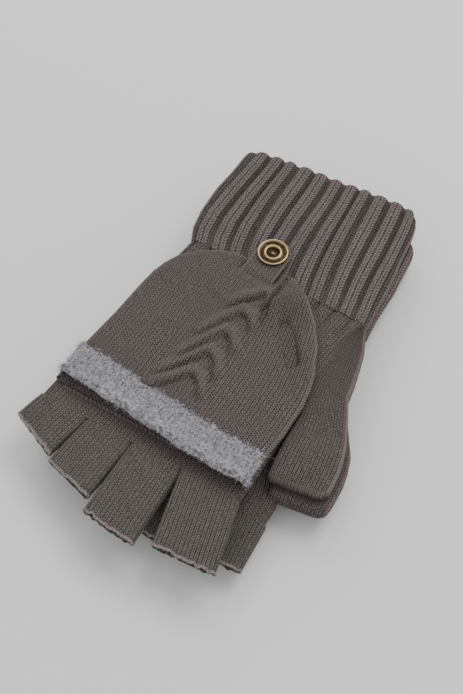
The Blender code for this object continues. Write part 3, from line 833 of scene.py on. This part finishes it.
flap = {
    "wales": 52,
    "course": 1.38,
    "stitch": 0.3,
    "wall": 0.8,
    "mouthY": -0.9,
    "bottom": 3.8,
    "middle": 5.2,
    "top": 9.0,
    "roll": 4.2,
    "snapX": 1.5,
    "notchHalf": 7.2,
    "notchY": -98.0,
    "tabRoom": 2.7,  # how much lower the flap lies under the tab and under the band
    "bandRoom": 1.0,
    # y, outer side's half width, thumb side's half width
    "sides": (
        (0.0, 50.2, 49.6), (-10.0, 50.2, 50.0), (-28.0, 48.5, 51.0), (-43.0, 46.6, 51.0),
        (-52.0, 46.0, 49.6), (-60.0, 45.4, 47.7), (-75.0, 44.0, 42.8), (-91.0, 40.6, 36.0),
        (-108.0, 36.0, 30.0),
    ),
    # the tip's edge: x, y
    "tip": (
        (-51.0, -52.0), (-46.0, -63.0), (-41.5, -73.5), (-33.5, -85.0), (-23.5, -94.8),
        (-13.5, -100.0), (-5.5, -100.5), (8.0, -100.0), (14.0, -99.3), (20.0, -97.6), (26.0, -95.0),
        (31.0, -91.8), (35.5, -87.8), (39.2, -83.5), (42.2, -77.5), (43.9, -71.5), (45.4, -62.0),
        (47.0, -50.0),
    ),
}
cables = {
    "width": 3.3,
    "rise": 1.7,
    "grooveWidth": 1.2,
    "groove": 0.9,
    # each strand: places along it, from its outer end over its point to its thumb side end
    "strands": (
        ((6.4, -70.4), (0.1, -79.4), (-7.1, -86.4), (-10.5, -83.9), (-11.5, -75.9)),
        ((9.7, -49.4), (4.1, -61.9), (-2.9, -72.9), (-8.3, -72.4), (-12.5, -63.9)),
        ((12.1, -33.4), (5.9, -46.9), (-1.7, -59.9), (-7.1, -58.9), (-11.9, -48.9)),
        ((13.9, -23.9), (6.9, -35.9), (-1.1, -47.4), (-6.7, -45.4), (-12.1, -33.4)),
        ((15.0, -11.0), (8.0, -23.0), (-0.5, -34.5), (-6.0, -33.0), (-11.0, -22.0)),
    ),
}
folds = {
    "pleat": ((-10.8, -98.0), (-11.9, -92.0), (-11.2, -83.0), (-12.2, -75.0), (-13.6, -66.0)),
    "pleatDepth": 2.2,
    "crease": ((-14.5, -74.5), (-23.0, -75.3), (-29.5, -68.0), (-34.0, -62.8), (-38.8, -56.6)),
    "creaseDepth": 3.2,
    "lobeLeft": 0.9,
    "lobeRight": 3.3,
    "rollEdge": 2.3,
}


def flapRelief(x, y):
    # Height that the cables, pleat, crease and lobes add to the flap's top, and tone: painted highlight on
    # the strands and painted shade in the grooves, pleat and crease.
    rise = np.zeros(x.shape)
    tone = np.zeros(x.shape)
    for strand in cables["strands"]:
        away, along = lineDistance(x, y, strand)
        ends = smoothStep(0.0, 0.18, along) * smoothStep(1.0, 0.86, along)
        bump = np.clip(1.0 - (away / cables["width"]) ** 2, 0.0, 1.0) * ends
        rise = np.maximum(rise, cables["rise"] * bump**0.6)
        # painted highlight on the raised strands
        tone = np.maximum(tone, 0.16 * bump)
    for strand in cables["strands"]:
        lower = [(a, b + 3.6 + 0.5 * abs(a - strand[2][0]) ** 0.5) for a, b in strand]
        away, along = lineDistance(x, y, lower)
        ends = smoothStep(0.0, 0.3, along) * smoothStep(1.0, 0.8, along)
        cut = np.exp(-((away / cables["grooveWidth"]) ** 2)) * ends
        rise = rise - cables["groove"] * cut
        # painted shade in the groove below each strand
        tone = tone - 0.3 * cut
    away, along = lineDistance(x, y, folds["pleat"])
    ends = smoothStep(1.0, 0.6, along)
    cut = np.exp(-((away / 1.1) ** 2)) * ends
    thumbwards = np.where(x < -11.8, 1.5, 0.4)
    rise = rise - folds["pleatDepth"] * cut + thumbwards * np.exp(-(((away - 4.0) / 2.8) ** 2)) * ends
    # painted shade in the pleat
    tone = tone - 0.5 * cut
    away, along = lineDistance(x, y, folds["crease"])
    ends = smoothStep(0.1, 0.5, along) * smoothStep(1.0, 0.88, along)
    cut = np.exp(-((away / 2.5) ** 2)) * ends
    rise = rise - folds["creaseDepth"] * cut
    # painted shade in the crease
    tone = tone - 1.3 * cut
    lobeLeft = folds["lobeLeft"] * np.exp(-(((x - 24) / 16) ** 2) - ((y + 84) / 18) ** 2)
    lobeRight = folds["lobeRight"] * np.exp(-(((x + 20) / 9) ** 2) - ((y + 87) / 8) ** 2)
    rollEdge = np.exp(-(((x + 41 + 0.35 * (y + 60)) / 4.5) ** 2) - ((y + 64) / 13) ** 2)
    rise = rise + lobeLeft + lobeRight + folds["rollEdge"] * rollEdge + 0.35 * waver(x, y, 0.7)
    return rise, tone


def flapHalfWide(s, y):
    # the flap's half width at y, on the side of the middle that s lies
    outlines = np.array(flap["sides"])
    outerSide = np.interp(-y, -outlines[:, 0], outlines[:, 1])
    thumbSide = np.interp(-y, -outlines[:, 0], outlines[:, 2])
    return np.where(s > 0, outerSide, thumbSide)


def makeFlap(side):
    # A flat pouch: columns s from side to side, each running from the mouth to the tip's edge. Its height
    # rises from the nearest edge and levels off, with the cables, pleat, crease and lobes on top.
    tip = np.array(flap["tip"])
    columns = flap["wales"] * 4 + 1
    s = np.linspace(-1.0, 1.0, columns)
    fine = np.linspace(flap["mouthY"], -107.5, 2200)
    trackX = s[None, :] * flapHalfWide(s[None, :], fine[:, None])
    tipY = np.interp(trackX, tip[:, 0], tip[:, 1])
    beyond = fine[:, None] < tipY
    first = np.where(beyond.any(axis=0), beyond.argmax(axis=0), len(fine) - 1)
    endY = fine[first]
    endX = trackX[first, np.arange(columns)]
    inNotch = np.abs(endX - flap["snapX"]) < flap["notchHalf"]
    endY = np.where(inNotch, flap["notchY"], endY)
    rows = int(round(107.0 / flap["course"] * 2)) + 1
    steps = np.linspace(flap["mouthY"], -108.0, rows)[:, None]
    y = np.maximum(steps, endY[None, :])
    shear = bandSlant(s[None, :] * 50.0) * smoothStep(-30.0, -8.0, y)
    halfWide = flapHalfWide(s[None, :], y)
    x = s[None, :] * halfWide
    edge = np.concatenate((
        np.stack((x[:, 0], y[:, 0]), -1)[::6],
        np.stack((x[-1], y[-1]), -1)[::2],
        np.stack((x[:, -1], y[:, -1]), -1)[::6][::-1],
    ))
    apart = np.hypot(*np.diff(edge, axis=0).T) > 1e-3
    distance, _ = lineDistance(x, y, edge[np.concatenate(([True], apart))])
    roll = np.clip(distance / flap["roll"], 0.0, 1.0)
    shape = (1.0 - (1.0 - roll) ** 2) ** 0.6
    shape[-1] = 0.0
    shape[:, 0] = shape[:, -1] = 0.0
    half = columnHalf(columns)
    field = stitchField(rows, half, 2)
    lift = flap["stitch"] * (stitchLift(half[None, :], field[..., 1]) - 0.6) * np.clip(roll * 3, 0, 1)
    rise, tone = flapRelief(x, y)
    underTab = smoothStep(-86.0, -96.0, y) * smoothStep(12.0, 8.0, np.abs(x - flap["snapX"]))
    underBand = smoothStep(-16.0, -9.0, y)
    top = flap["top"] + rise * (1.0 - underTab) * (1.0 - underBand)
    top = top - flap["tabRoom"] * underTab - flap["bandRoom"] * underBand
    rim = 0.2 * np.exp(-(((distance - 1.2) / 0.7) ** 2))
    zTop = flap["middle"] + (top - flap["middle"]) * shape + lift + rim * np.clip(roll * 4, 0, 1)
    zBottom = flap["middle"] - (flap["middle"] - flap["bottom"]) * shape - 0.3 * lift
    topField = field.copy()
    # painted light and shade from the relief, left off under the band, and a painted highlight along the
    # rolled rim
    topField[..., 2] = tone * (1.0 - underBand) + 0.4 * np.exp(-(((distance - 1.0) / 0.7) ** 2))
    sheared = y - shear * shape
    outer = overAndUnder(x, sheared, zTop, y, zBottom)
    stitches = np.concatenate((topField, field[:, ::-1]), axis=1)
    pick = np.linspace(0, rows - 1, 26).round().astype(int)
    shrink = 1.0 - 1.4 * flap["wall"] / halfWide[pick]
    inX = x[pick] * shrink
    inY = np.maximum(y[pick], endY[None, :] + 1.3)
    inHigh = flap["middle"] + (flap["top"] - flap["middle"]) * shape[pick] - flap["wall"]
    inHigh = inHigh - flap["tabRoom"] * underTab[pick] - flap["bandRoom"] * underBand[pick]
    inHigh = np.maximum(inHigh, flap["middle"] + 0.2)
    inLow = np.minimum(zBottom[pick] + flap["wall"], flap["middle"] - 0.15)
    inLow[-1] = inHigh[-1] = flap["middle"]
    inLow[:, (0, -1)] = inHigh[:, (0, -1)] = flap["middle"]
    inner = overAndUnder(inX, inY - (shear * shape)[pick], inHigh, inY, inLow)
    piece = shellObject(side + "FlapPouch", side, outer, stitches, inner, paints["knit"], True)
    finish(piece, side, "taupe_knit", None, "flap_under_panel", "flap_side_seam", "flap_cover_panel")
    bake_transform(piece)


band = {
    "from": -14.6,
    "to": 1.4,
    "bottom": 8.15,
    "middle": 5.4,  # the height that the ends close down to
    "top": 9.9,
    "ridge": 0.5,
    "endRoll": 3.5,
    "topRows": 46,
    "backRows": 16,
    "halfOuter": 50.2,
    "halfThumb": {"right": 49.4, "left": 45.0},
    "shear": 6.6,  # how much further to the cuff the band lies at its outer end
    "hairs": 6800,
    "hairLength": (1.0, 3.6),
    "hairWide": 0.095,
}


def bandSlant(x):
    # How far the mouth's free edge lies from the knuckle seam towards the cuff: none at the thumb,
    # most at the outer side.
    slant = band["shear"] * np.clip((x + 50.0) / 100.0, 0.0, 1.1) ** 1.6
    return slant - np.exp(-(((x + 25.0) / 25.0) ** 2))


def bandTop(y):
    # Height of the band's top: a slow rise from its upper edge and a soft roll near its lower edge.
    rolled = band["ridge"] * np.exp(-((y / 1.5) ** 2))
    return band["top"] + rolled - smoothStep(-11.5, -14.6, y)


def bandEnds(x, halfThumb):
    # how far x is from the nearer end of the band, and the share of its height that it has there
    away = np.minimum(band["halfOuter"] - x, x + halfThumb)
    return away, np.clip(1.0 - (1.0 - np.clip(away / band["endRoll"], 0, 1)) ** 2, 0, 1) ** 0.5


def bandHeight(height, shape):
    return band["middle"] + (height - band["middle"]) * (0.12 + 0.88 * shape)


def makeBand(side):
    # A padded strip: one closed section in y and z, carried along x, waved and slanted, rounded at both ends.
    lengths = 56 * 4 + 1
    s = np.linspace(-1.0, 1.0, lengths)
    halfThumb = band["halfThumb"][side]
    x = np.where(s > 0, s * band["halfOuter"], s * halfThumb)[:, None]
    topY = np.linspace(band["from"], band["to"], band["topRows"])
    frontAngle = np.linspace(0.0, math.pi, 8)[1:-1]
    backY = np.linspace(band["to"], band["from"], band["backRows"])
    endTop = bandTop(np.array([band["to"]]))[0]
    y = np.concatenate((topY, band["to"] + 1.1 * np.sin(frontAngle), backY))
    frontZ = (endTop + band["bottom"]) / 2 + (endTop - band["bottom"]) / 2 * np.cos(frontAngle)
    z = np.concatenate((bandTop(topY), frontZ, np.full(band["backRows"], band["bottom"])))
    around = len(y)
    half = columnHalf(lengths)
    course = np.arange(around) / 3.0
    lift = 0.28 * (stitchLift(half[:, None], course[None, :]) - 0.4)
    lift = lift * np.where(np.arange(around) < band["topRows"], 1.0, 0.0)
    _, shape = bandEnds(x, halfThumb)
    ringZ = bandHeight(z[None, :] + lift, shape)
    wave = 0.35 * np.sin(x * 0.31) + 0.25 * np.sin(x * 0.77 + 1.0)
    ringY = y[None, :] + wave * smoothStep(-8.0, 0.0, y[None, :])
    ringY = ringY - bandSlant(x)
    rings = np.stack((x + 0 * ringY, ringY, ringZ), -1)
    field = np.zeros(rings.shape)
    field[..., 0] = half[:, None]
    field[..., 1] = course[None, :]
    # painted highlight along the rolled lower edge; the band is also darker towards its upper edge
    field[..., 2] = 0.5 * np.exp(-(((y[None, :] + 1.0) / 3.5) ** 2))
    field[..., 2] -= 0.5 * smoothStep(-10.0, -14.5, y[None, :])
    faces = gridFaces(lengths, around).tolist()
    faces += [list(range(around))[::-1], list(range((lengths - 1) * around, lengths * around))]
    points, stitches = rings.reshape(-1, 3), field.reshape(-1, 3)
    piece = knitObject(side + "MohairBand", side, points, stitches, faces, paints["mohair"])
    finish(piece, side, "mohair", "cover_body", "mohair_band")


def hairObject(name, side, roots, directions, lengths, curls, wide, paint):
    # Fine hairs: each is a three-sided tapering tube of four rings along root + direction t + curl t
    # squared.
    count = len(roots)
    t = np.array((0.0, 0.35, 0.7, 1.0))
    radius = wide * np.array((1.0, 0.85, 0.6, 0.15))
    line = roots[:, None] + directions[:, None] * (lengths[:, None] * t)[..., None]
    line = line + curls[:, None] * (t**2)[None, :, None]
    across = np.cross(directions, np.array((0.3, 0.2, 0.93)))
    across /= np.linalg.norm(across, axis=1, keepdims=True)
    other = np.cross(directions, across)
    angle = np.array((0.0, 2.0944, 4.18879))
    spoke = across[:, None, None] * np.cos(angle)[None, None, :, None]
    spoke = spoke + other[:, None, None] * np.sin(angle)[None, None, :, None]
    points = line[:, :, None] + spoke * radius[None, :, None, None]
    base = (np.arange(count) * 12)[:, None, None]
    ring = np.arange(3)[None, :, None] * 3
    k = np.arange(3)[None, None, :]
    j = (k + 1) % 3
    quads = np.stack((base + ring + k, base + ring + j, base + ring + 3 + j, base + ring + 3 + k), -1)
    rootCaps = (base + np.array((2, 1, 0))).reshape(-1, 3)
    tipCaps = (base + 9 + np.array((0, 1, 2))).reshape(-1, 3)
    faces = quads.reshape(-1, 4).tolist() + rootCaps.tolist() + tipCaps.tolist()
    return knitObject(name, side, points.reshape(-1, 3), np.zeros((count * 12, 3)), faces, paint, merge=False)


def makeBandHairs(side, count, seed):
    # Hairs stand on the band's top, thicker along its free edge, where they lean out over the fingers.
    chance = np.random.default_rng(seed)
    halfThumb = band["halfThumb"][side]
    x = chance.uniform(-halfThumb - 0.2, band["halfOuter"] + 0.2, count)
    atEdge = chance.random(count) < 0.3
    edgeY = chance.normal(0.4, 1.1, count)
    y = np.where(atEdge, edgeY, chance.uniform(band["from"] - 0.8, band["to"], count))
    y = np.clip(y, band["from"] - 0.8, band["to"] + 0.9)
    away, shape = bandEnds(x, halfThumb)
    z = bandHeight(bandTop(y), shape) - 0.15
    front = smoothStep(-3.0, 1.0, y)
    sideways = chance.normal(0, 0.75, count)
    outwards = chance.normal(0, 0.5, count) + 0.75 * front
    upwards = 0.25 + 0.45 * chance.random(count) + 0.2 * front
    directions = np.stack((sideways, outwards, upwards), -1)
    directions[:, 0] += np.where(away < 3.0, np.sign(x) * 0.9, 0.0)
    directions /= np.linalg.norm(directions, axis=1, keepdims=True)
    low, high = band["hairLength"]
    longer = 0.5 + 0.5 * np.clip(front + (away < 3.0), 0, 1)
    lengths = low + (high - low) * chance.random(count) ** 2.2 * longer
    curls = chance.normal(0, 0.35, (count, 3)) * lengths[:, None] * 0.6
    curls[:, 2] = -0.35 * lengths * chance.random(count)
    y = y - bandSlant(x)
    roots = np.stack((x, y, z), -1)
    wide = band["hairWide"]
    piece = hairObject(side + "BandHairs", side, roots, directions, lengths, curls, wide, paints["hair"])
    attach(piece, side + "_cover_body")


fuzz = {
    "length": (0.5, 1.7),
    "wide": 0.035,
    # how many fibres each piece has
    "pieces": {
        "Cuff": 5200,
        "PinkyFinger": 1100,
        "RingFinger": 1100,
        "MiddleFinger": 1200,
        "IndexFinger": 1300,
    },
}


def makeFuzz(side, share):
    # Loose fibres stand on points picked at random from each finished piece, along its normals.
    for number, (name, count) in enumerate(fuzz["pieces"].items()):
        mesh = bpy.data.objects[side + name].data
        total = len(mesh.vertices)
        spots, normals = np.empty(total * 3), np.empty(total * 3)
        mesh.vertices.foreach_get("co", spots)
        mesh.vertex_normals.foreach_get("vector", normals)
        chance = np.random.default_rng(70 + number)
        picked = chance.integers(0, total, int(count * share))
        flipped = np.array((1.0, 1.0, sides[side]["up"]))
        roots = (spots.reshape(-1, 3)[picked] - sides[side]["origin"]) / mm * flipped
        directions = normals.reshape(-1, 3)[picked] * flipped + chance.normal(0, 0.55, (len(picked), 3))
        directions /= np.linalg.norm(directions, axis=1, keepdims=True)
        low, high = fuzz["length"]
        lengths = low + (high - low) * chance.random(len(picked)) ** 2
        curls = chance.normal(0, 0.3, (len(picked), 3)) * lengths[:, None]
        wide, paint = fuzz["wide"], paints["fuzz"]
        piece = hairObject(side + name + "Fibres", side, roots, directions, lengths, curls, wide, paint)
        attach(piece, side + "_hand_body")


tab = {
    "x": 1.5,
    "snapY": -106.1,
    "endY": -114.6,
    "rootY": -87.5,
    "half": 8.5,
    "top": 8.15,
    "bottom": 6.95,
    "course": 1.3,
    "stitch": 0.26,
}


def makeTab(side):
    # A thin strip with a half round end, its height rising from the nearest edge and levelling off.
    columns = 9 * 4 + 1
    s = np.linspace(-1.0, 1.0, columns)
    bow = np.sqrt(np.clip(1.0 - s**2, 0, 1))
    endY = tab["snapY"] - tab["half"] * bow
    endY = np.minimum(endY, tab["snapY"] - 0.2)
    rows = int(round((tab["rootY"] - tab["endY"]) / tab["course"] * 3)) + 1
    steps = np.linspace(tab["rootY"], tab["endY"], rows)[:, None]
    y = np.maximum(steps, endY[None, :])
    x = tab["x"] + s[None, :] * tab["half"] + 0 * y
    distance = np.minimum(tab["half"] * (1.0 - np.abs(s))[None, :] + 0 * y, (y - endY[None, :]) * 0.9)
    roll = np.clip(distance / 1.3, 0, 1)
    shape = (1.0 - (1.0 - roll) ** 2) ** 0.6
    shape[-1] = 0.0
    half = columnHalf(columns)
    field = stitchField(rows, half, 3)
    lift = tab["stitch"] * (stitchLift(half[None, :], field[..., 1]) - 0.6) * np.clip(roll * 2, 0, 1)
    root = smoothStep(-95.5, tab["rootY"], y)
    middle = (tab["top"] + tab["bottom"]) / 2 - 0.9 * root
    halfHigh = (tab["top"] - tab["bottom"]) / 2
    zTop = middle + halfHigh * shape + lift + 0.5 * np.exp(-(((y + 93.0) / 3.0) ** 2)) * shape
    zBottom = middle - halfHigh * shape
    # painted highlight along the rolled edges
    field[..., 2] = 0.3 * np.exp(-(((distance - 0.8) / 0.6) ** 2))
    outer = overAndUnder(x, y, zTop, y, zBottom)
    stitches = np.concatenate((field, field[:, ::-1]), axis=1).reshape(-1, 3)
    total = outer.shape[1]
    faces = gridFaces(rows, total).tolist() + [list(range(total))[::-1]]
    piece = knitObject(side + "Tab", side, outer.reshape(-1, 3), stitches, faces, paints["knit"])
    finish(piece, side, "tab_knit", None, "snap_tab")
    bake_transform(piece)


snap = {
    "spin": 112,
    # radius, height, tone from 0 in the grooves to 1 on the rims
    "profile": (
        (0.0, 8.62, 0.22), (0.5, 8.64, 0.25), (0.95, 8.6, 0.1), (1.15, 8.45, -0.1),
        (1.9, 8.38, -0.25), (2.55, 8.42, -0.2), (2.8, 8.6, 0.0), (3.0, 9.1, 0.4),
        (3.2, 9.5, 0.85), (3.55, 9.66, 1.0), (3.95, 9.6, 0.85), (4.25, 9.36, 0.4),
        (4.5, 9.18, 0.12), (4.9, 9.06, 0.0), (5.4, 9.04, -0.02), (5.85, 9.12, 0.05),
        (6.15, 9.32, 0.35), (6.35, 9.6, 0.85), (6.65, 9.78, 1.0), (6.95, 9.72, 0.95),
        (7.14, 9.5, 0.65), (7.2, 9.15, 0.35), (7.12, 8.7, 0.15), (6.9, 8.4, 0.0),
        (6.5, 8.25, 0.0), (1.55, 8.2, 0.0), (1.5, 7.2, 0.0), (1.4, 7.0, 0.0),
        (0.0, 7.0, 0.0),
    ),
}


def makeSnap(side):
    # A turned piece: the profile of radius and height, spun about the snap's own axis.
    profile = np.array(snap["profile"])
    turn = np.linspace(0, 2 * np.pi, snap["spin"], endpoint=False)[:, None]
    x = tab["x"] + profile[:, 0] * np.cos(turn)
    y = tab["snapY"] + profile[:, 0] * np.sin(turn)
    z = profile[:, 1] + 0 * turn
    rings = np.stack((x, y, z), -1).transpose(1, 0, 2)
    field = np.zeros(rings.shape)
    field[..., 2] = profile[:, 2][:, None]
    faces = gridFaces(len(profile), snap["spin"])
    points, tones = rings.reshape(-1, 3), field.reshape(-1, 3)
    piece = knitObject(side + "SnapCap", side, points, tones, faces, paints["brass"])
    finish(piece, side, "antique_brass", "tab_body", "snap_cap_ring")
    for node in ("snap_socket", "snap_stud", "snap_back_ring"):
        metal = frame["nodes"][side + "_" + node]
        metal.data.materials.clear()
        metal.data.materials.append(paints["plainBrass"])


seam = {"half": 45.8, "radius": 0.5, "height": 3.25, "stitch": 2.2}


def makeSeam(side):
    # A row of slanted stitches: a circle of points along the row, its radius swelling along a helix.
    lengths, around = 420, 14
    x = np.linspace(-seam["half"], seam["half"], lengths)[:, None]
    angle = np.linspace(0, 2 * np.pi, around, endpoint=False)[None, :]
    swell = 0.16 * np.cos(2 * np.pi * x / seam["stitch"] - angle)
    ends = np.sqrt(np.clip(1.0 - (np.abs(x) / seam["half"]) ** 60, 0.0004, 1))
    radius = (seam["radius"] + swell - 0.1) * ends
    rings = np.stack((x + 0 * angle, radius * np.cos(angle), seam["height"] + radius * np.sin(angle)), -1)
    field = np.zeros(rings.shape)
    field[..., 0] = 0.5
    field[..., 1] = x / seam["stitch"] - angle / (2 * np.pi)
    faces = gridFaces(lengths, around).tolist()
    faces += [list(range(around))[::-1], list(range((lengths - 1) * around, lengths * around))]
    points, stitches = rings.reshape(-1, 3), field.reshape(-1, 3)
    piece = knitObject(side + "KnuckleSeam", side, points, stitches, faces, paints["knit"])
    finish(piece, side, "seam_yarn", "hand_body", "knuckle_seam")


squeezed = {
    # x of the inner side that the finger draws in to, and the share of its width that is left
    "pinky": (30.0, 0.62),
    "index": (-24.0, 0.64),
}


def squeezeFingers(side):
    # the two outer fingers and their fibres get meshes of their own
    for finger, (inner, keep) in squeezed.items():
        for ending in ("Finger", "FingerFibres"):
            piece = bpy.data.objects[side + finger.capitalize() + ending]
            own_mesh(piece)


for sideName, hairShare in (("right", 1.0), ("left", 0.5)):
    makeCuff(sideName)
    makeHand(sideName)
    for number, finger in enumerate(fingers):
        makeFinger(sideName, finger, 11 + number)
    makeThumb(sideName)
    makeFlap(sideName)
    makeBand(sideName)
    makeBandHairs(sideName, int(band["hairs"] * hairShare), 5)
    makeTab(sideName)
    makeSnap(sideName)
    makeSeam(sideName)
    makeFuzz(sideName, hairShare)
    squeezeFingers(sideName)
    print("made the", sideName, "mitten")
